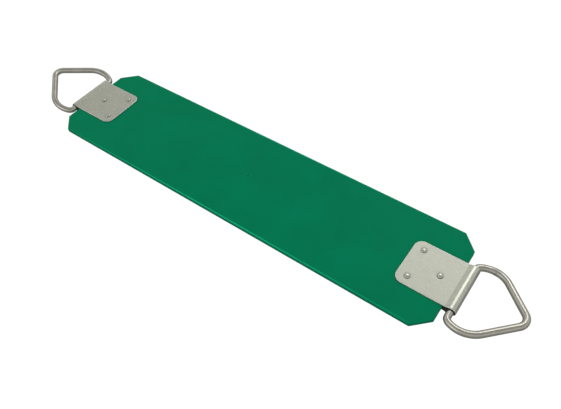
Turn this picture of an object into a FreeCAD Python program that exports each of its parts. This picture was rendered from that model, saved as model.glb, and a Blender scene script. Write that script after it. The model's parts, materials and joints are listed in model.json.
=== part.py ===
"""Belt swing seat: a flat flexible belt with a folded steel clamp plate and a bar ring at each end.

+X runs along the belt to its right end, +Y across it to the back edge and +Z up from the sitting face.
The origin is the centre of the sitting face. Sizes are in millimetres and angles in degrees.
"""
import FreeCAD
import Part
import math
import os
from FreeCAD import Vector

# Belt: one moulding, made as a centre panel and two end panels so that it can flex
belt_length = 660.0
belt_width = 163.0
belt_thickness = 7.0
belt_corner_cut = 22.0
flex_line_x = 115.0
flex_gap = 0.3

# Clamp plates: each is one sheet, folded round the ring's base bar and riveted through the belt
sheet_thickness = 1.6
plate_width = 74.0
leaf_length = 70.0
leaf_corner_radius = 12.0
flare_start = 1.4
flare_slope = 20.0
flare_bend_radius = 3.0
nose_centre = 10.95
slot_half_height = 5.6

# Rivets: two near the inner edge of each plate and one near the fold
rivet_shank_radius = 2.4
rivet_hole_radius = 2.5
rivet_head_radius = 4.3
rivet_head_height = 1.9
formed_head_radius = 4.0
formed_head_height = 1.5
inner_rivet_from_end = 55.5
inner_rivet_spacing = 47.0
outer_rivet_from_end = 21.0

# Rings: round bar bent to a triangle with wide shoulders, and welded shut
bar_diameter = 9.5
base_half_length = 40.2
base_bend_radius = 7.4
base_bend_angle = 62.0
shoulder_radius = 33.9
leg_slope = 44.2
apex_radius = 13.6
ring_axis_from_end = 11.0
ring_lift = {"right": 5.8, "left": 12.7}
ring_sideways = {"right": -4.6, "left": -1.5}

# Derived places
belt_end_x = belt_length / 2
mid_z = -belt_thickness / 2
leaf_edge_x = belt_end_x - leaf_length

SIDES = ("right", "left")


def trace(start, heading, moves, offset=0.0):
    """Edges in the XY plane along moves of (length, 0) or (radius, turn), shifted to the left by offset."""
    edges = []
    place = start
    for size, turn in moves:
        along = Vector(math.cos(heading), math.sin(heading), 0)
        left = Vector(-along.y, along.x, 0)
        if turn == 0:
            goal = place + along * size
            edges.append(Part.makeLine(place + left * offset, goal + left * offset))
        else:
            side = math.copysign(1, turn)
            centre = place + left * (size * side)
            spoke = left * (-side * (size - side * offset))
            points = [centre + turned(spoke, turn * share) for share in (0, 0.5, 1)]
            edges.append(Part.Arc(*points).toShape())
            goal = centre + turned(left * (-side * size), turn)
            heading += math.radians(turn)
        place = goal
    return edges


def turned(vector, degrees):
    """The vector turned in the XY plane."""
    return FreeCAD.Rotation(Vector(0, 0, 1), degrees).multVec(vector)


def mirrored(shape, side):
    """The shape as made for the right end, or its mirror image for the left end."""
    return shape if side == "right" else shape.mirror(Vector(0, 0, 0), Vector(1, 0, 0))


def rivet_places():
    """Name and plan position of each rivet at the right end."""
    inner_x = belt_end_x - inner_rivet_from_end
    return {
        "inner_front": Vector(inner_x, -inner_rivet_spacing / 2, 0),
        "inner_back": Vector(inner_x, inner_rivet_spacing / 2, 0),
        "outer": Vector(belt_end_x - outer_rivet_from_end, 0, 0),
    }


def drilled(shape):
    """The shape with the rivet holes of the right end cut through it."""
    depth = 4 * belt_thickness
    holes = [
        Part.makeCylinder(rivet_hole_radius, depth, place - Vector(0, 0, depth / 2))
        for place in rivet_places().values()
    ]
    return shape.cut(Part.makeCompound(holes))


def belt_half_outline():
    """Corners of the belt's right half, from the middle line round the cut corners."""
    half_width = belt_width / 2
    square_end = half_width - belt_corner_cut
    return [
        Vector(0, -half_width, 0),
        Vector(belt_end_x - belt_corner_cut, -half_width, 0),
        Vector(belt_end_x, -square_end, 0),
        Vector(belt_end_x, square_end, 0),
        Vector(belt_end_x - belt_corner_cut, half_width, 0),
        Vector(0, half_width, 0),
    ]


def end_panel():
    """The belt from the right flex line to its right end."""
    outline = belt_half_outline()
    face = Part.Face(Part.makePolygon(outline + outline[:1]))
    half = face.extrude(Vector(0, 0, -belt_thickness))
    inner = Part.makeBox(flex_line_x + flex_gap / 2, belt_width, belt_thickness,
                         Vector(0, -belt_width / 2, -belt_thickness))
    return drilled(half.cut(inner))


def centre_panel():
    """The belt between its two flex lines."""
    reach = flex_line_x - flex_gap / 2
    return Part.makeBox(2 * reach, belt_width, belt_thickness,
                        Vector(-reach, -belt_width / 2, -belt_thickness))


def fold_moves():
    """The middle line of the folded sheet: upper leaf, flare, nose, flare and lower leaf."""
    rise = slot_half_height - belt_thickness / 2
    slope = math.radians(flare_slope)
    ramp = (rise - 2 * flare_bend_radius * (1 - math.cos(slope))) / math.sin(slope)
    flare_length = 2 * flare_bend_radius * math.sin(slope) + ramp * math.cos(slope)
    leaf = (leaf_length + flare_start, 0)
    up, down = (flare_bend_radius, flare_slope), (flare_bend_radius, -flare_slope)
    slot_roof = (nose_centre - flare_start - flare_length, 0)
    nose = (slot_half_height + sheet_thickness / 2, -180)
    return [leaf, up, (ramp, 0), down, slot_roof, nose, slot_roof, down, (ramp, 0), up, leaf]


def clamp_plate():
    """The right clamp plate, with both leaves' inner corners rounded and its rivet holes."""
    start = Vector(leaf_edge_x, mid_z + (belt_thickness + sheet_thickness) / 2, 0)
    outer, inner = (trace(start, 0, fold_moves(), side * sheet_thickness / 2) for side in (1, -1))
    ends = [
        Part.makeLine(outer[0].Vertexes[0].Point, inner[0].Vertexes[0].Point),
        Part.makeLine(outer[-1].Vertexes[1].Point, inner[-1].Vertexes[1].Point),
    ]
    section = Part.Face(Part.Wire(Part.__sortEdges__(outer + inner + ends)))
    plate = section.extrude(Vector(0, 0, plate_width))
    plate.rotate(Vector(0, 0, 0), Vector(1, 0, 0), 90)
    plate.translate(Vector(0, plate_width / 2, 0))
    corners = [edge for edge in plate.Edges if is_leaf_corner(edge)]
    return drilled(plate.makeFillet(leaf_corner_radius, corners))


def is_leaf_corner(edge):
    """Whether an edge is the sharp upright corner at the inner edge of a leaf."""
    box = edge.BoundBox
    return box.XMax < leaf_edge_x + 0.01 and box.YLength < 0.01


def ring_moves():
    """Half of the ring's middle line, from the middle of its base bar to its apex."""
    bend, slope = math.radians(base_bend_angle), math.radians(leg_slope)
    shoulder_y = (base_half_length + base_bend_radius * math.sin(bend)
                  + shoulder_radius * (math.cos(slope) - math.sin(bend)))
    leg_length = (shoulder_y - apex_radius * math.cos(slope)) / math.sin(slope)
    return [(base_half_length, 0), (base_bend_radius, -base_bend_angle),
            (shoulder_radius, base_bend_angle - 90 - leg_slope),
            (leg_length, 0), (apex_radius, leg_slope - 90)]


def ring(side):
    """The right-hand form of one ring, lifted and slid along its base bar as it lies at rest."""
    moves = ring_moves()
    path = Part.Wire(trace(Vector(0, 0, 0), math.pi / 2, moves + moves[::-1]))
    circle = Part.Circle(Vector(0, 0, 0), Vector(0, 1, 0), bar_diameter / 2)
    bar = path.makePipeShell([Part.Wire(circle.toShape())], True, True)
    bar.rotate(Vector(0, 0, 0), Vector(0, -1, 0), ring_lift[side])
    bar.translate(Vector(belt_end_x + ring_axis_from_end, ring_sideways[side], mid_z))
    return bar


def dome(radius, height):
    """A round head's cap, with its flat face at z = 0 and its top at z = height."""
    sphere_radius = (radius ** 2 + height ** 2) / (2 * height)
    ball = Part.makeSphere(sphere_radius, Vector(0, 0, height - sphere_radius))
    return ball.common(Part.makeCylinder(radius, height))


def rivet(place):
    """One rivet: made head on the upper leaf, shank through belt and leaves, formed head below."""
    grip = belt_thickness + 2 * sheet_thickness
    head = dome(rivet_head_radius, rivet_head_height)
    shank = Part.makeCylinder(rivet_shank_radius, grip, Vector(0, 0, -grip))
    tail = dome(formed_head_radius, formed_head_height)
    tail.rotate(Vector(0, 0, 0), Vector(1, 0, 0), 180)
    tail.translate(Vector(0, 0, -grip))
    body = head.fuse([shank, tail]).removeSplitter()
    body.translate(place + Vector(0, 0, sheet_thickness))
    return body


def build():
    """Every sub-part by node name."""
    nodes = {"belt_centre_panel": centre_panel()}
    for side in SIDES:
        nodes[f"belt_{side}_panel"] = mirrored(end_panel(), side)
        nodes[f"clamp_plate_{side}"] = mirrored(clamp_plate(), side)
        nodes[f"triangle_ring_{side}"] = mirrored(ring(side), side)
        for name, place in rivet_places().items():
            nodes[f"rivet_{side}_{name}"] = mirrored(rivet(place), side)
    return nodes


os.makedirs("parts", exist_ok=True)
for node, shape in build().items():
    shape.exportStep(f"parts/{node}.step")
    print(node, shape.isValid(), len(shape.Solids), round(shape.Volume))
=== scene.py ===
"""Looks of the belt swing seat: a rubber belt, two folded steel clamp plates, their rivets and rings.

Meshes are in metres in the part's own frame: +X along the belt to its right end, +Y to its back, +Z up.
"""
import bpy
import bmesh
import json
import math
from mathutils import Matrix, Vector


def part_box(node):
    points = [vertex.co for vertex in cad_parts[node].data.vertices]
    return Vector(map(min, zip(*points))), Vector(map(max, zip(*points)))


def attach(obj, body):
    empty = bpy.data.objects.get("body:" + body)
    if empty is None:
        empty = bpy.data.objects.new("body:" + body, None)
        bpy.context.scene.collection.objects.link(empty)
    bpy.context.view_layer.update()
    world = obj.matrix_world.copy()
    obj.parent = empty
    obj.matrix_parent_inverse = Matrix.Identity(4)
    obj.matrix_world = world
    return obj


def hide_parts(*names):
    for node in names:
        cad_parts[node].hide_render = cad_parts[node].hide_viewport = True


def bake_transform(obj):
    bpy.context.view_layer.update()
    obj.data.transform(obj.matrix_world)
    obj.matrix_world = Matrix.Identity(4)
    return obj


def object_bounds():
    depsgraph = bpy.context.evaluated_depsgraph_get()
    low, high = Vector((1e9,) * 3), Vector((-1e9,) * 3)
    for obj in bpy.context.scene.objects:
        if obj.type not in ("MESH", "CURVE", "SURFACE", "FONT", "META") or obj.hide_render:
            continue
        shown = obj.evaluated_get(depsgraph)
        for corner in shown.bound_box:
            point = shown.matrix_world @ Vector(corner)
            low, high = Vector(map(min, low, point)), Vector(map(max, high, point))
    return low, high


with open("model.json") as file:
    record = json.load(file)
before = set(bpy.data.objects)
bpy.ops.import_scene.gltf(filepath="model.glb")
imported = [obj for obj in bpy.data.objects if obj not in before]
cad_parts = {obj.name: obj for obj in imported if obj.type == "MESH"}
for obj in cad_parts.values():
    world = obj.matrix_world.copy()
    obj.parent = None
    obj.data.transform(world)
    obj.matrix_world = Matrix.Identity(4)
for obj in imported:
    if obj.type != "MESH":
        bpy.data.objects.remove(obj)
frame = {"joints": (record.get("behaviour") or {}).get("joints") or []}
cad_low, cad_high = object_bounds()

MM = 0.001
SIDES = {"right": 1, "left": -1}
RIVETS = ("inner_front", "inner_back", "outer")

# Belt
ARRIS_REACH = 2.4 * MM
ARRIS_DEPTH = 0.9 * MM
CORNER_ROUND = 3.0 * MM
BELT_CORNER_CUT = 22 * MM
BELT_STATION = 4 * MM
BELT_COLUMNS = 40
CORNER_STEPS = 4
CUT_STEPS = 8
# How far before each cut corner the painted edge highlight fades out
EDGE_HIGHLIGHT_FADE = 8 * MM
RUBBER_SHINE = 0.03

# Folded clamp plates
SHEET = 1.6 * MM
PLATE_EDGE_REACH = 0.75 * MM
PLATE_EDGE_DEPTH = 0.4 * MM
LEAF_CORNER = 12 * MM
FLARE_START = 2.2 * MM
FLARE_SLOPE = 18.0
FLARE_BEND = 1.5 * MM
NOSE_CENTRE = 10.95 * MM
SLOT_HALF = 5.6 * MM
DIMPLE_DEPTH = 0.38 * MM
DIMPLE_RADIUS = 6.3 * MM
DIMPLE_FALL = 3
SAG_DEPTH = 0.4 * MM
SAG_REACH = 16 * MM
LEAF_STATION = 1.3 * MM
FOLD_STATION = 0.7 * MM
PLATE_COLUMNS = 56
LEAF_CORNER_STEPS = 12
FOLD_POLISH_START = 6.5 * MM
FOLD_POLISH_END = 8.5 * MM

# Rivets: powers under 1 make the head fuller than a half ellipse. The head's foot, the shank and the tail
# are shares of the head's radius, and the tail's own sizes are shares of its radius and height
HEAD_SIDE_POWER = 0.9
HEAD_TOP_POWER = 0.8
HEAD_FOOT = 0.97
HEAD_BITE = 0.05 * MM
SHANK = 0.55
TAIL = 0.93
TAIL_NECK = 0.96
TAIL_WALL = 0.25
TAIL_FLAT = 0.55
TAIL_CRATER = ((0.32, 0.25), (0.14, 0.42), (0, 0.46))

# Rings
BAR = 4.75 * MM
BASE_HALF = 40.2 * MM
BASE_BEND = 7.4 * MM
BASE_BEND_ANGLE = 62.0
SHOULDER = 33.9 * MM
LEG_SLOPE = 44.2
APEX = 13.6 * MM
RING_LIFT = {"right": 5.8, "left": 12.7}
RING_SIDEWAYS = {"right": -4.6 * MM, "left": -1.5 * MM}
BAR_STATION = 1.2 * MM
BAR_SEGMENTS = 32

# Weld on each ring: heights are shares of the bar's radius, and ripples are in radians per metre
WELD_REACH = 6.0 * MM
WELD_WIDTH = 3.2 * MM
WELD_HEIGHT = 0.045
WELD_UNEVEN = 0.02
WELD_RIPPLES = 2.6 / MM

# Gate mark: (radius, height above the sitting face) in millimetres, outwards and then back below
GATE_PROFILE = ((0, 0.22), (1.2, 0.20), (1.8, 0.05), (3.0, 0.02), (3.8, 0.22), (4.5, 0.2),
                (5.2, -0.02), (4.5, -0.3), (0, -0.3))
GATE_TONES_REACH = 5.8 * MM

# Camera, as fitted to the photograph, with angles in degrees and the lens in millimetres
CAMERA_AZIMUTH = 38.61
CAMERA_ELEVATION = 50.87
CAMERA_ROLL = -3.72
CAMERA_DISTANCE = 0.81363
CAMERA_TARGET_X = 0.06878
CAMERA_TARGET_Y = -0.01318
SENSOR = 36
LENS = 36.45754

# Stage: (height, brightness) of the sky, from the horizon at 0 to straight up at 1
SKY = ((0.0, 0.46), (0.35, 0.54), (0.6, 0.90), (0.8, 0.36))
FLOOR_RADIUS = 12.0
FLOOR_GAP = 1 * MM


# ---------------------------------------------------------------- places, read from the frame

def belt_box():
    """Lowest and highest corner of the whole belt."""
    boxes = [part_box(f"belt_{name}_panel") for name in ("left", "centre", "right")]
    low = Vector(min(b[0][i] for b in boxes) for i in range(3))
    high = Vector(max(b[1][i] for b in boxes) for i in range(3))
    return low, high


BELT_LOW, BELT_HIGH = belt_box()
THICKNESS = BELT_HIGH.z - BELT_LOW.z
MID_Z = (BELT_HIGH.z + BELT_LOW.z) / 2
END_X = BELT_HIGH.x
CUT_X = END_X - BELT_CORNER_CUT
LEAF_TOP = BELT_HIGH.z + SHEET
LEAF_UNDER = BELT_LOW.z - SHEET
JOINTS = {joint["name"]: joint for joint in frame["joints"]}
RING_AXIS_X = JOINTS["right_ring_swing"]["pos_m"][0]


# ---------------------------------------------------------------- mesh helpers

def new_object(name, bm, smooth_angle=35):
    """An object from a bmesh, smooth except at edges sharper than smooth_angle degrees."""
    bmesh.ops.recalc_face_normals(bm, faces=bm.faces)
    limit = math.radians(smooth_angle)
    for face in bm.faces:
        face.smooth = True
    for edge in bm.edges:
        edge.smooth = len(edge.link_faces) == 2 and edge.calc_face_angle(0) < limit
    mesh = bpy.data.meshes.new(name)
    bm.to_mesh(mesh)
    bm.free()
    made = bpy.data.objects.new(name, mesh)
    bpy.context.scene.collection.objects.link(made)
    return made


def spread(start, end, step):
    """Evenly spaced values from start to end, about step apart, without the last."""
    count = max(1, round(abs(end - start) / step))
    return [start + (end - start) * i / count for i in range(count)]


def corner_points(centre, radius, first, last, count):
    """Outline points and outward normals round a plan corner, from angle first to angle last in degrees."""
    points = []
    for i in range(count + 1):
        angle = math.radians(first + (last - first) * i / count)
        normal = (math.cos(angle), math.sin(angle))
        points.append(((centre[0] + radius * normal[0], centre[1] + radius * normal[1]), normal))
    return points


def rim_profile(thickness, reach, depth, steps=4):
    """(inset, height above the middle) from the upper face round the edge to the lower face."""
    upper = []
    for i in range(steps + 1):
        angle = math.radians(90 * (1 - i / steps))
        upper.append((reach * (1 - math.cos(angle)), thickness / 2 - depth * (1 - math.sin(angle))))
    return upper + [(inset, -height) for inset, height in reversed(upper)]


def slab(bm, place, outline, thickness, edge, columns, open_start=False, relief=None):
    """A closed sheet over a grid of stations (outline points on the +Y side) and columns across.

    place(s, y, d) gives the point at length s, width y and distance d from the middle surface.
    edge is the reach and the depth of the rounded edges. relief(s, y) lowers the upper face, and
    what is below it in proportion, down to none at the lower face.
    With open_start, the first station is closed by a flat cap.
    The attribute "rim" is 1 in the middle of each rounded edge and 0 on the flats and outermost, and
    "under" is 1 round the lower edge."""
    reach, depth = edge
    profile = rim_profile(thickness, reach, depth)
    rim_layer, under_layer = (bm.verts.layers.float.new(name) for name in ("rim", "under"))
    shares = [1 - 2 * j / columns for j in range(columns + 1)]
    last = len(outline) - 1

    def rim_point(i, j, inset):
        (s, half), (ns, ny) = outline[i]
        return s - ns * inset, shares[j] * (half - ny * inset)

    def lowered(s, y, height):
        share = 0.5 + height / thickness
        return place(s, y, height - (relief(s, y) * share if relief else 0))

    def face_grid(level):
        grid = []
        for i in range(last + 1):
            row = []
            for j in range(columns + 1):
                row.append(bm.verts.new(lowered(*rim_point(i, j, reach), level * thickness / 2)))
            grid.append(row)
        for i in range(last):
            for j in range(columns):
                bm.faces.new((grid[i][j], grid[i][j + 1], grid[i + 1][j + 1], grid[i + 1][j]))
        return grid

    upper, lower = face_grid(1), face_grid(-1)
    loop = [(i, 0) for i in range(last + 1)] + [(last, j) for j in range(1, columns + 1)]
    loop += [(i, columns) for i in range(last - 1, -1, -1)]
    if not open_start:
        loop += [(0, j) for j in range(columns - 1, 0, -1)]
    rows = [[upper[i][j] for i, j in loop]]
    for inset, height in profile[1:-1]:
        row = [bm.verts.new(lowered(*rim_point(i, j, inset), height)) for i, j in loop]
        for vert in row:
            vert[rim_layer] = math.sin(math.pi * inset / reach)
            vert[under_layer] = 1 if height < 0 else 0
        rows.append(row)
    rows.append([lower[i][j] for i, j in loop])
    count = len(loop)
    for above, below in zip(rows, rows[1:]):
        for k in range(count - 1 if open_start else count):
            n = (k + 1) % count
            bm.faces.new((above[k], above[n], below[n], below[k]))
    if open_start:
        front, back = [row[0] for row in rows[1:-1]], [row[-1] for row in rows[-2:0:-1]]
        bm.faces.new(upper[0][::-1] + front + lower[0] + back)


def lathe(bm, profile, centre, segments):
    """A closed body turned from (radius, z) points, the first and last of which are on the axis."""
    rings = []
    for radius, z in profile[1:-1]:
        ring = []
        for k in range(segments):
            angle = 2 * math.pi * k / segments
            x, y = centre.x + radius * math.cos(angle), centre.y + radius * math.sin(angle)
            ring.append(bm.verts.new((x, y, z)))
        rings.append(ring)
    poles = [bm.verts.new((centre.x, centre.y, profile[i][1])) for i in (0, -1)]
    for k in range(segments):
        n = (k + 1) % segments
        bm.faces.new((poles[0], rings[0][k], rings[0][n]))
        bm.faces.new((poles[1], rings[-1][n], rings[-1][k]))
        for above, below in zip(rings, rings[1:]):
            bm.faces.new((above[k], below[k], below[n], above[n]))


# ---------------------------------------------------------------- paths of straight and bent stretches

def along_moves(moves, start, heading):
    """A path of (length, 0) and (radius, turn) moves: a function from length s to the point and the left
    normal there, the whole length, and the lengths at which the moves begin and end."""
    pieces, place, done = [], start.copy(), 0.0
    for size, turn in moves:
        length = size if turn == 0 else size * abs(turn)
        pieces.append((done, size, turn, place.copy(), heading))
        place, heading = step_on(place, heading, size, turn, length)
        done += length

    def at(s):
        for begun, size, turn, point, facing in reversed(pieces):
            if s >= begun:
                break
        point, facing = step_on(point, facing, size, turn, s - begun)
        return point, Vector((-math.sin(facing), math.cos(facing)))
    return at, done, [piece[0] for piece in pieces] + [done]


def step_on(place, heading, size, turn, reach):
    """Place and heading after going reach along one move."""
    if turn == 0:
        return place + Vector((math.cos(heading), math.sin(heading))) * reach, heading
    side = math.copysign(1, turn)
    centre = place + Vector((-math.sin(heading), math.cos(heading))) * size * side
    after = heading + side * reach / size
    return centre - Vector((-math.sin(after), math.cos(after))) * size * side, after


# ---------------------------------------------------------------- the belt

def belt_outline():
    """The +Y side of the belt's right half in plan, from the middle to the end, with its cut corner."""
    half = BELT_HIGH.y
    tangent = CORNER_ROUND * math.tan(math.radians(45 / 2))
    first = (CUT_X - tangent, half - CORNER_ROUND)
    second = (END_X - CORNER_ROUND, half - BELT_CORNER_CUT - tangent)
    points = [((x, half), (0, 1)) for x in spread(0, first[0], BELT_STATION)]
    points += corner_points(first, CORNER_ROUND, 90, 45, CORNER_STEPS)
    end_corner = corner_points(second, CORNER_ROUND, 45, 0, CORNER_STEPS)
    (start, normal), goal = points[-1], Vector(end_corner[0][0])
    points += [(tuple(Vector(start).lerp(goal, k / CUT_STEPS)), normal) for k in range(1, CUT_STEPS)]
    return points + end_corner


def make_belt_half(side, sign):
    """Half of the moulding, from the middle line to one end."""
    bm = bmesh.new()

    def place(s, y, d):
        return Vector((sign * s, y, MID_Z + d))

    slab(bm, place, belt_outline(), THICKNESS, (ARRIS_REACH, ARRIS_DEPTH), BELT_COLUMNS, open_start=True)
    return new_object(f"belt_{side}_half", bm)


# ---------------------------------------------------------------- clamp plates

def fold_curve():
    """Moves along the folded sheet's middle line, and its start at the inner edge of the upper leaf."""
    rise = SLOT_HALF - THICKNESS / 2
    slope = math.radians(FLARE_SLOPE)
    ramp_length = (rise - 2 * FLARE_BEND * (1 - math.cos(slope))) / math.sin(slope)
    flare_length = 2 * FLARE_BEND * math.sin(slope) + ramp_length * math.cos(slope)
    inner_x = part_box("clamp_plate_right")[0].x
    leaf, ramp = (END_X - inner_x + FLARE_START, 0), (ramp_length, 0)
    roof = (NOSE_CENTRE - FLARE_START - flare_length, 0)
    up, down = (FLARE_BEND, slope), (FLARE_BEND, -slope)
    nose = (SLOT_HALF + SHEET / 2, -math.pi)
    moves = [leaf, up, ramp, down, roof, nose, roof, down, ramp, up, leaf]
    return moves, Vector((inner_x, THICKNESS / 2 + SHEET / 2 + MID_Z))


def plate_outline(total, breaks, half):
    """The +Y side of the flat sheet, with rounded corners, and stations close together in the fold."""
    side = half - LEAF_CORNER
    points = corner_points((LEAF_CORNER, side), LEAF_CORNER, 180, 90, LEAF_CORNER_STEPS)
    stations = spread(LEAF_CORNER, breaks[1], LEAF_STATION)[1:]
    for first, second in zip(breaks[1:-2], breaks[2:-1]):
        stations += spread(first, second, FOLD_STATION)
    stations += spread(breaks[-2], total - LEAF_CORNER, LEAF_STATION)
    points += [((s, half), (0, 1)) for s in stations]
    return points + corner_points((total - LEAF_CORNER, side), LEAF_CORNER, 90, 0, LEAF_CORNER_STEPS)


def rivet_centre(side, name):
    """Middle of a rivet in plan."""
    low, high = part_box(f"rivet_{side}_{name}")
    return Vector(((low.x + high.x) / 2, (low.y + high.y) / 2))


def leaf_sag(leaf, s):
    """How far a leaf sinks towards the belt between its free edge and the flare."""
    inward = leaf - s
    if inward <= 0:
        return 0
    if inward < SAG_REACH:
        return SAG_DEPTH * (1 - (1 - inward / SAG_REACH) ** 2)
    return SAG_DEPTH * (1 - ((inward - SAG_REACH) / (leaf - SAG_REACH)) ** 2)


def dimple(x, y, rivet):
    """How far the sheet is pressed in at a place near a rivet."""
    far = math.hypot(x - rivet.x, y - rivet.y) / DIMPLE_RADIUS
    return DIMPLE_DEPTH * math.exp(-far ** 4 * DIMPLE_FALL)


def make_plate(side, sign):
    """One folded sheet, a little bowed and pressed in round each rivet head."""
    bm = bmesh.new()
    at, total, breaks = along_moves(*fold_curve(), 0.0)
    rivets = [rivet_centre(side, name) for name in RIVETS]

    def place(s, y, d):
        point, normal = at(s)
        point = point + normal * d
        return Vector((sign * point.x, y, point.y))

    def relief(s, y):
        point, _ = at(s)
        drop = leaf_sag(breaks[1], min(s, total - s))
        return drop + sum(dimple(sign * point.x, y, rivet) for rivet in rivets)

    outline = plate_outline(total, breaks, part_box(f"clamp_plate_{side}")[1].y)
    slab(bm, place, outline, SHEET, (PLATE_EDGE_REACH, PLATE_EDGE_DEPTH), PLATE_COLUMNS, relief=relief)
    return new_object(f"folded_plate_{side}", bm, smooth_angle=50)


# ---------------------------------------------------------------- rivets

def quarter_turn(steps):
    """Sine and cosine at evenly spaced angles up to 90 degrees, without the first."""
    angles = [math.radians(90 * i / steps) for i in range(1, steps + 1)]
    return [(math.sin(angle), math.cos(angle)) for angle in angles]


def rivet_profile(radius, top, seat, bottom):
    """(radius, z) from the top of the head, down the shank and round the tail, to its crater's middle."""
    profile = [(0, top)]
    for sine, cosine in quarter_turn(steps=12):
        profile.append((radius * sine ** HEAD_SIDE_POWER, seat + (top - seat) * cosine ** HEAD_TOP_POWER))
    foot, shank = seat - HEAD_BITE, radius * SHANK
    profile += [(radius * HEAD_FOOT, foot), (shank, foot), (shank, LEAF_UNDER)]
    tail, tail_height = radius * TAIL, LEAF_UNDER - bottom
    wall = LEAF_UNDER - TAIL_WALL * tail_height
    profile += [(tail * TAIL_NECK, LEAF_UNDER), (tail, wall)]
    for sine, cosine in quarter_turn(steps=6):
        profile.append((tail * (TAIL_FLAT + (1 - TAIL_FLAT) * cosine), wall - (wall - bottom) * sine))
    return profile + [(tail * share, bottom + rise * tail_height) for share, rise in TAIL_CRATER]


def make_rivet(side, name):
    """A domed head in its dimple, a shank and a formed tail with a small crater."""
    low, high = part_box(f"rivet_{side}_{name}")
    seat = LEAF_TOP - DIMPLE_DEPTH - SAG_DEPTH
    bm = bmesh.new()
    profile = rivet_profile((high.x - low.x) / 2, high.z, seat, low.z)
    lathe(bm, profile, rivet_centre(side, name), segments=40)
    return new_object(f"rivet_{side}_{name}_visual", bm, smooth_angle=50)


# ---------------------------------------------------------------- rings

def ring_moves():
    """Half of the ring's middle line, from the middle of its base bar, turning to the right, to its apex."""
    bend, slope = math.radians(BASE_BEND_ANGLE), math.radians(LEG_SLOPE)
    shoulder_y = BASE_HALF + BASE_BEND * math.sin(bend) + SHOULDER * (math.cos(slope) - math.sin(bend))
    leg = (shoulder_y - APEX * math.cos(slope)) / math.sin(slope)
    return [(BASE_HALF, 0), (BASE_BEND, -bend), (SHOULDER, bend - math.pi / 2 - slope),
            (leg, 0), (APEX, slope - math.pi / 2)]


def weld_bulge(offset, angle):
    """How far the ground weld stands proud, as a share of the bar's radius, at a distance along the bar."""
    hump = math.exp(-(offset / WELD_WIDTH) ** 2)
    ripples = 0.35 * math.sin(offset * WELD_RIPPLES + math.sin(angle * 3))
    lumps = 0.3 * math.sin(angle * 5 + 1)
    return hump * (WELD_HEIGHT + WELD_UNEVEN * (ripples + lumps))


def make_ring(side, sign):
    """Round bar swept along the ring's line, with a ground weld on its back shoulder."""
    moves = ring_moves()
    at, _, breaks = along_moves(moves + moves[::-1], Vector((0, 0)), math.pi / 2)
    weld = (breaks[2] + breaks[3]) / 2
    stations = []
    for first, second in zip(breaks, breaks[1:]):
        stations += spread(first, second, BAR_STATION)
    lift = Matrix.Rotation(math.radians(RING_LIFT[side]), 4, Vector((0, -1, 0)))
    origin = Vector((RING_AXIS_X, RING_SIDEWAYS[side], MID_Z))
    bm = bmesh.new()
    layers = [bm.verts.layers.float.new(name) for name in ("along", "across", "upward", "weld")]
    rows = []
    for s in stations:
        point, normal = at(s)
        near_weld = math.exp(-((s - weld) / WELD_REACH) ** 2)
        row = []
        for k in range(BAR_SEGMENTS):
            angle = 2 * math.pi * k / BAR_SEGMENTS
            radius = BAR * (1 + weld_bulge(s - weld, angle))
            local = point + normal * radius * math.cos(angle)
            spot = lift @ Vector((local.x, local.y, radius * math.sin(angle))) + origin
            vert = bm.verts.new((sign * spot.x, spot.y, spot.z))
            marks = (s, BAR * math.cos(angle), BAR * math.sin(angle), near_weld)
            for layer, value in zip(layers, marks):
                vert[layer] = value
            row.append(vert)
        rows.append(row)
    for above, below in zip(rows, rows[1:] + rows[:1]):
        for k in range(BAR_SEGMENTS):
            n = (k + 1) % BAR_SEGMENTS
            bm.faces.new((above[k], above[n], below[n], below[k]))
    return new_object(f"ring_{side}", bm, smooth_angle=60)


# ---------------------------------------------------------------- gate mark

def make_gate_mark():
    """The small round scar where the moulding was filled, in the middle of the sitting face."""
    bm = bmesh.new()
    profile = [(radius * MM, BELT_HIGH.z + height * MM) for radius, height in GATE_PROFILE]
    lathe(bm, profile, Vector((0, 0)), segments=32)
    return new_object("gate_mark", bm, smooth_angle=60)


# ---------------------------------------------------------------- material helpers

def material(name):
    """A new material, its node tree, and its main shader."""
    made = bpy.data.materials.new(name)
    made.use_nodes = True
    tree = made.node_tree
    return made, tree, tree.nodes["Principled BSDF"]


def coords(tree, scale=(1, 1, 1)):
    """Object coordinates, stretched."""
    source = tree.nodes.new("ShaderNodeTexCoord")
    mapping = tree.nodes.new("ShaderNodeMapping")
    mapping.inputs["Scale"].default_value = scale
    tree.links.new(source.outputs["Object"], mapping.inputs["Vector"])
    return mapping.outputs["Vector"]


def parts_of(tree, vector):
    """A vector's X, Y and Z as sockets by name."""
    split = tree.nodes.new("ShaderNodeSeparateXYZ")
    tree.links.new(vector, split.inputs[0])
    return split.outputs


def noise(tree, vector, scale, detail, roughness=0.5):
    """A noise texture's value, with about scale lumps to each unit of the vector."""
    node = tree.nodes.new("ShaderNodeTexNoise")
    node.inputs["Scale"].default_value = scale
    node.inputs["Detail"].default_value = detail
    node.inputs["Roughness"].default_value = roughness
    tree.links.new(vector, node.inputs["Vector"])
    return node.outputs["Fac"]


def ramp(tree, value, stops):
    """Colours along a value, from (position, colour) stops."""
    node = tree.nodes.new("ShaderNodeValToRGB")
    while len(node.color_ramp.elements) < len(stops):
        node.color_ramp.elements.new(0.5)
    for element, (position, colour) in zip(node.color_ramp.elements, stops):
        element.position = position
        element.color = (*colour, 1)
    tree.links.new(value, node.inputs["Fac"])
    return node.outputs["Color"]


def mapped(tree, value, span, goal):
    """A value moved from the range span to the range goal, and clamped."""
    node = tree.nodes.new("ShaderNodeMapRange")
    for socket, number in zip(("From Min", "From Max", "To Min", "To Max"), (*span, *goal)):
        node.inputs[socket].default_value = number
    tree.links.new(value, node.inputs["Value"])
    return node.outputs["Result"]


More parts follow.
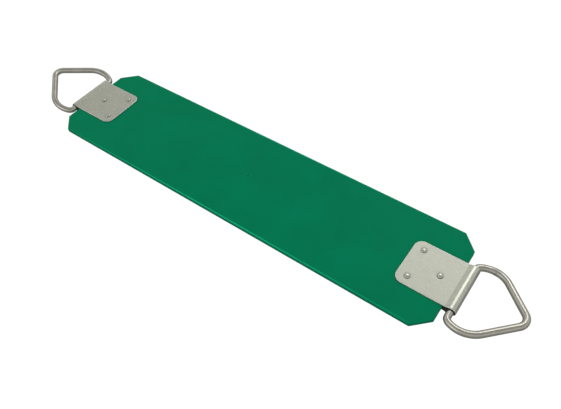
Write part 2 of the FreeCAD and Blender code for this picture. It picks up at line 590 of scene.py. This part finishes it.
def mixed(tree, factor, first, second):
    """Two colours or values mixed by a factor. Each may be a socket, a number or an (r, g, b) colour."""
    node = tree.nodes.new("ShaderNodeMix")
    node.data_type = "RGBA"
    for socket, value in ((0, factor), (6, first), (7, second)):
        if isinstance(value, tuple):
            node.inputs[socket].default_value = (*value, 1)
        elif isinstance(value, float):
            node.inputs[socket].default_value = value
        else:
            tree.links.new(value, node.inputs[socket])
    return node.outputs[2]


def attribute(tree, name):
    """A value stored on the mesh."""
    node = tree.nodes.new("ShaderNodeAttribute")
    node.attribute_name = name
    return node.outputs["Fac"]


def worked(tree, operation, first, second=0.0):
    """The result of one sum on two values."""
    node = tree.nodes.new("ShaderNodeMath")
    node.operation = operation
    for socket, value in zip(node.inputs, (first, second)):
        if isinstance(value, float):
            socket.default_value = value
        else:
            tree.links.new(value, socket)
    return node.outputs[0]


def product(tree, *values):
    """Values multiplied together."""
    made = values[0]
    for value in values[1:]:
        made = worked(tree, "MULTIPLY", made, value)
    return made


def bump(tree, layers):
    """Height layers of (value, height in metres), added into one bump."""
    normal = None
    for value, distance in layers:
        node = tree.nodes.new("ShaderNodeBump")
        node.inputs["Distance"].default_value = distance
        tree.links.new(value, node.inputs["Height"])
        if normal:
            tree.links.new(normal, node.inputs["Normal"])
        normal = node.outputs["Normal"]
    return normal


def feed(tree, shader, colour, roughness, layers):
    """Joins a colour, a roughness and bump layers to the main shader."""
    tree.links.new(colour, shader.inputs["Base Color"])
    if isinstance(roughness, float):
        shader.inputs["Roughness"].default_value = roughness
    else:
        tree.links.new(roughness, shader.inputs["Roughness"])
    tree.links.new(bump(tree, layers), shader.inputs["Normal"])


# ---------------------------------------------------------------- materials of the object

def belt_material():
    """Green moulded rubber: faint clouding, a fine matt skin, light rubbing marks and a painted highlight of
    paler green along the rounded edges.
    """
    made, tree, shader = material("belt_rubber")
    dark, light, belt_edge_highlight = (0.0002, 0.232, 0.104), (0.0003, 0.270, 0.125), (0.014, 0.66, 0.33)
    plain = coords(tree)
    cloud = noise(tree, plain, scale=14, detail=3)
    speck = noise(tree, plain, scale=900, detail=2)
    rubs = noise(tree, coords(tree, (0.12, 1, 1)), scale=420, detail=4, roughness=0.6)
    body = ramp(tree, cloud, [(0.3, dark), (0.7, light)])
    specked = mixed(tree, mapped(tree, speck, (0.35, 0.75), (0, 0.35)), body, (0.0004, 0.300, 0.140))
    rubbed = mixed(tree, mapped(tree, rubs, (0.62, 0.8), (0, 0.3)), specked, (0.002, 0.300, 0.145))
    # Painted highlight: the rounded edges are mixed towards a paler green
    edge_lit = mixed(tree, painted_edge_highlight(tree, plain), rubbed, belt_edge_highlight)
    skin = mapped(tree, mixed(tree, 0.5, cloud, rubs), (0.3, 0.7), (0.42, 0.58))
    waves, pores = noise(tree, plain, scale=45, detail=2), noise(tree, plain, scale=2600, detail=2)
    feed(tree, shader, edge_lit, skin, [(waves, 0.15 * MM), (speck, 0.02 * MM), (pores, 0.012 * MM)])
    shader.inputs["Specular IOR Level"].default_value = RUBBER_SHINE
    return made


def painted_edge_highlight(tree, plain):
    """A painted highlight along the rounded edges: patchy on the long sides, weaker towards both ends, least
    on the cuts.
    """
    x = parts_of(tree, plain)["X"]
    long_edge = mapped(tree, worked(tree, "ABSOLUTE", x), (CUT_X - EDGE_HIGHLIGHT_FADE, CUT_X), (1, 0.15))
    patchy = mapped(tree, noise(tree, plain, scale=160, detail=3, roughness=0.6), (0.3, 0.6), (0.6, 1.0))
    rising = mapped(tree, x, (-0.27, -0.05), (0.25, 1.0))
    fading = mapped(tree, x, (0.08, 0.28), (1.0, 0.4))
    return product(tree, attribute(tree, "rim"), long_edge, patchy, rising, fading)


def gate_material():
    """The rubber of the gate mark: darker in the middle, with a paler painted highlight on its rim."""
    made, tree, shader = material("gate_rubber")
    hollow, inner_dark, rim, belt = ((0.001, 0.232, 0.105), (0.001, 0.218, 0.098),
                               (0.004, 0.310, 0.152), (0.0003, 0.255, 0.118))
    flat = coords(tree, (1, 1, 0))
    far = tree.nodes.new("ShaderNodeVectorMath")
    far.operation = "LENGTH"
    tree.links.new(flat, far.inputs[0])
    uneven = product(tree, noise(tree, flat, scale=700, detail=2), 1.2 * MM)
    ragged = worked(tree, "ADD", far.outputs["Value"], uneven)
    share = mapped(tree, ragged, (0, GATE_TONES_REACH), (0, 1))
    # Darker towards the middle; the paler rim stop is a painted highlight
    tones = ramp(tree, share, [(0.0, hollow), (0.60, inner_dark), (0.78, rim), (1.0, belt)])
    feed(tree, shader, tones, 0.55, [(noise(tree, flat, scale=900, detail=2), 0.03 * MM)])
    shader.inputs["Specular IOR Level"].default_value = RUBBER_SHINE
    return made


def plate_material():
    """Tumbled stainless sheet: mottled and finely pitted, smoother in the fold, with a painted highlight
    along the upper edges and painted shade round the lower edges.
    """
    made, tree, shader = material("plate_steel")
    dark, light, dull = (0.50, 0.52, 0.44), (0.66, 0.69, 0.59), (0.56, 0.55, 0.49)
    streak, polished = (0.70, 0.71, 0.63), (0.72, 0.71, 0.63)
    plate_edge_highlight, painted_under_shade = (0.92, 0.95, 0.89), (0.02, 0.03, 0.025)
    plain = coords(tree)
    mottle = noise(tree, plain, scale=260, detail=4, roughness=0.6)
    patch = noise(tree, plain, scale=45, detail=3)
    rolled = noise(tree, coords(tree, (0.06, 1, 1)), scale=900, detail=3)
    rim = attribute(tree, "rim")
    body = ramp(tree, mottle, [(0.32, dark), (0.68, light)])
    shaded = mixed(tree, mapped(tree, patch, (0.3, 0.7), (0, 0.5)), body, dull)
    lined = mixed(tree, mapped(tree, rolled, (0.4, 0.7), (0, 0.25)), shaded, streak)
    outward = worked(tree, "ABSOLUTE", parts_of(tree, plain)["X"])
    fold = mapped(tree, outward, (END_X + FOLD_POLISH_START, END_X + FOLD_POLISH_END), (0, 1))
    folded = mixed(tree, product(tree, fold, 0.2), lined, polished)
    # Painted highlight on the rounded upper edges, and near-black painted shade round the lower edges
    edges_lit_and_shaded = mixed(tree, attribute(tree, "under"), mixed(tree, rim, folded, plate_edge_highlight), painted_under_shade)
    tumbled = mapped(tree, mottle, (0.3, 0.7), (0.47, 0.58))
    burnished = mapped(tree, mottle, (0.3, 0.7), (0.34, 0.40))
    smoothed = mixed(tree, worked(tree, "MAXIMUM", fold, rim), tumbled, burnished)
    pits = noise(tree, plain, scale=1800, detail=2)
    feed(tree, shader, edges_lit_and_shaded, smoothed, [(patch, 0.06 * MM), (mottle, 0.015 * MM), (pits, 0.004 * MM)])
    shader.inputs["Metallic"].default_value = 1.0
    return made


def bar_coords(tree, along_scale, around_scale):
    """Coordinates that follow the bar's bends, with a scale along it and another across and round it."""
    joined = tree.nodes.new("ShaderNodeCombineXYZ")
    scales = {"along": along_scale, "across": around_scale, "upward": around_scale}
    for (name, scale), socket in zip(scales.items(), "XYZ"):
        tree.links.new(product(tree, attribute(tree, name), scale), joined.inputs[socket])
    return joined.outputs["Vector"]


def ring_material():
    """Drawn stainless bar: bright, with fine lines along it, dull rubbed patches and a duller weld."""
    made, tree, shader = material("ring_steel")
    dark, light, line = (0.50, 0.485, 0.42), (0.63, 0.615, 0.545), (0.44, 0.43, 0.375)
    spot, bead, weld_roughness = (0.42, 0.41, 0.36), (0.36, 0.345, 0.32), (0.5, 0.5, 0.5)
    plain = coords(tree)
    patch = noise(tree, plain, scale=70, detail=4, roughness=0.6)
    grain = noise(tree, plain, scale=700, detail=3)
    drawn = noise(tree, bar_coords(tree, 120.0, 2400.0), scale=1, detail=3)
    weld = product(tree, attribute(tree, "weld"), mapped(tree, grain, (0.3, 0.6), (0.3, 0.9)))
    body = ramp(tree, patch, [(0.3, dark), (0.7, light)])
    lined = mixed(tree, mapped(tree, drawn, (0.45, 0.7), (0, 0.45)), body, line)
    spotted = mixed(tree, mapped(tree, grain, (0.5, 0.75), (0, 0.35)), lined, spot)
    welded = mixed(tree, weld, spotted, bead)
    smooth = mapped(tree, mixed(tree, 0.5, patch, drawn), (0.3, 0.7), (0.30, 0.36))
    roughness = mixed(tree, weld, smooth, weld_roughness)
    feed(tree, shader, welded, roughness, [(patch, 0.03 * MM), (grain, 0.002 * MM), (drawn, 0.002 * MM)])
    shader.inputs["Metallic"].default_value = 1.0
    return made


def rivet_material():
    """Bright, slightly hammered stainless, with painted shade where a head or tail meets its plate."""
    made, tree, shader = material("rivet_steel")
    dark, light, painted_seat_shade = (0.52, 0.52, 0.46), (0.68, 0.68, 0.61), (0.16, 0.16, 0.14)
    plain = coords(tree)
    mottle = noise(tree, plain, scale=500, detail=3)
    body = ramp(tree, mottle, [(0.3, dark), (0.7, light)])
    height = worked(tree, "ABSOLUTE", worked(tree, "SUBTRACT", parts_of(tree, plain)["Z"], MID_Z))
    leaf_height = LEAF_TOP - MID_Z
    # Painted shade: darkest at the sheet's face, fading out within about a millimetre up the head or tail
    seat = mapped(tree, height, (leaf_height - 0.2 * MM, leaf_height + 0.8 * MM), (0, 1))
    hammered = mapped(tree, mottle, (0.3, 0.7), (0.29, 0.38))
    feed(tree, shader, mixed(tree, seat, painted_seat_shade, body), hammered, [(mottle, 0.04 * MM)])
    shader.inputs["Metallic"].default_value = 1.0
    return made


# ---------------------------------------------------------------- stage, lights and camera

def floor_material():
    """A pale floor that looks even to the camera, lights the object's underside a little, and is clear
    from below."""
    made, tree, shader = material("pale_floor")
    shader.inputs["Base Color"].default_value = (0.08, 0.08, 0.08, 1)
    shader.inputs["Emission Color"].default_value = (1, 1, 0.98, 1)
    shader.inputs["Emission Strength"].default_value = 0.24
    shader.inputs["Roughness"].default_value = 0.9
    shader.inputs["Specular IOR Level"].default_value = 0.1
    glow = tree.nodes.new("ShaderNodeEmission")
    glow.inputs["Color"].default_value = (1, 1, 1, 1)
    glow.inputs["Strength"].default_value = 1.05
    clear = tree.nodes.new("ShaderNodeBsdfTransparent")
    path = tree.nodes.new("ShaderNodeLightPath")
    facing = tree.nodes.new("ShaderNodeNewGeometry")
    seen = either(tree, path.outputs["Is Camera Ray"], shader, glow)
    through = either(tree, facing.outputs["Backfacing"], seen, clear)
    tree.links.new(through.outputs[0], tree.nodes["Material Output"].inputs["Surface"])
    return made


def either(tree, test, first, second):
    """A mix of two shader nodes: the first where the test is 0 and the second where it is 1."""
    node = tree.nodes.new("ShaderNodeMixShader")
    for socket, value in zip(node.inputs, (test, first.outputs[0], second.outputs[0])):
        tree.links.new(value, socket)
    return node


def make_floor(z):
    """A wide level floor that the seat lies on."""
    bm = bmesh.new()
    bmesh.ops.create_circle(bm, cap_ends=True, segments=64, radius=FLOOR_RADIUS)
    floor = new_object("floor", bm)
    if floor.data.polygons[0].normal.z < 0:
        floor.data.flip_normals()
    floor.location.z = z
    floor.data.materials.append(floor_material())


def make_world():
    """Soft light from all round: brightest in a band part of the way up, dimmer overhead and low down."""
    world = bpy.data.worlds.new("studio")
    bpy.context.scene.world = world
    world.use_nodes = True
    tree = world.node_tree
    source = tree.nodes.new("ShaderNodeTexCoord")
    height = parts_of(tree, source.outputs["Generated"])["Z"]
    sky = ramp(tree, height, [(stop, (level, level, level - 0.01)) for stop, level in SKY])
    tree.links.new(sky, tree.nodes["Background"].inputs["Color"])


def softbox(name, direction, distance, size, watts, target):
    """A rectangular area light in a direction from its target, facing it."""
    lamp = bpy.data.lights.new(name, "AREA")
    lamp.shape = "RECTANGLE"
    lamp.size, lamp.size_y = size
    lamp.energy = watts
    holder = bpy.data.objects.new(name, lamp)
    away = Vector(direction).normalized()
    holder.location = Vector(target) + away * distance
    holder.rotation_mode = "QUATERNION"
    holder.rotation_quaternion = away.to_track_quat("Z", "Y")
    bpy.context.scene.collection.objects.link(holder)


def make_camera():
    """The camera, from its direction, distance and roll about a point on the belt's underside."""
    azimuth, elevation, roll = (math.radians(a) for a in (CAMERA_AZIMUTH, CAMERA_ELEVATION, CAMERA_ROLL))
    target = Vector((CAMERA_TARGET_X, CAMERA_TARGET_Y, BELT_LOW.z))
    level = math.cos(elevation)
    back = Vector((math.sin(azimuth) * level, -math.cos(azimuth) * level, math.sin(elevation)))
    right = (-back).cross(Vector((0, 0, 1))).normalized()
    up = right.cross(-back)
    turned_right = math.cos(roll) * right + math.sin(roll) * up
    turned_up = math.cos(roll) * up - math.sin(roll) * right
    data = bpy.data.cameras.new("camera")
    data.sensor_width = SENSOR
    data.lens = LENS
    data.clip_start = 10 * MM
    camera = bpy.data.objects.new("camera", data)
    turn = Matrix((turned_right, turned_up, back)).transposed()
    camera.matrix_world = Matrix.Translation(target + back * CAMERA_DISTANCE) @ turn.to_4x4()
    bpy.context.scene.collection.objects.link(camera)
    bpy.context.scene.camera = camera


# ---------------------------------------------------------------- the object

def dress(piece, look, slot, *nodes):
    """Gives a piece its material and hides the CAD nodes it stands for; slot is not used."""
    piece.data.materials.append(look)
    if nodes:
        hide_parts(*nodes)


def build():
    """Makes every piece and says which body it goes with."""
    rubber, sheet, bar, stud = belt_material(), plate_material(), ring_material(), rivet_material()
    for side, sign in SIDES.items():
        half = make_belt_half(side, sign)
        dress(half, rubber, "belt", f"belt_{side}_panel", "belt_centre_panel")
        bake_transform(half)
        plate = make_plate(side, sign)
        dress(plate, sheet, "plate", f"clamp_plate_{side}")
        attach(plate, f"{side}_end")
        for name in RIVETS:
            rivet = make_rivet(side, name)
            dress(rivet, stud, "rivet", f"rivet_{side}_{name}")
            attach(rivet, f"{side}_end")
        ring = make_ring(side, sign)
        dress(ring, bar, "ring", f"triangle_ring_{side}")
        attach(ring, f"{side}_ring")
    mark = make_gate_mark()
    dress(mark, gate_material(), "belt")
    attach(mark, "belt_centre")


build()
make_world()
make_camera()
make_floor(cad_low.z - FLOOR_GAP)
softbox("key", (-0.15, 0.60, 0.78), distance=2.2, size=(0.65, 0.65), watts=5.2, target=(0.38, 0, 0))
softbox("front", (-0.45, -0.85, 0.45), distance=2.4, size=(1.4, 1.0), watts=5, target=(0.05, 0, 0))
bpy.context.scene.view_settings.view_transform = "Standard"
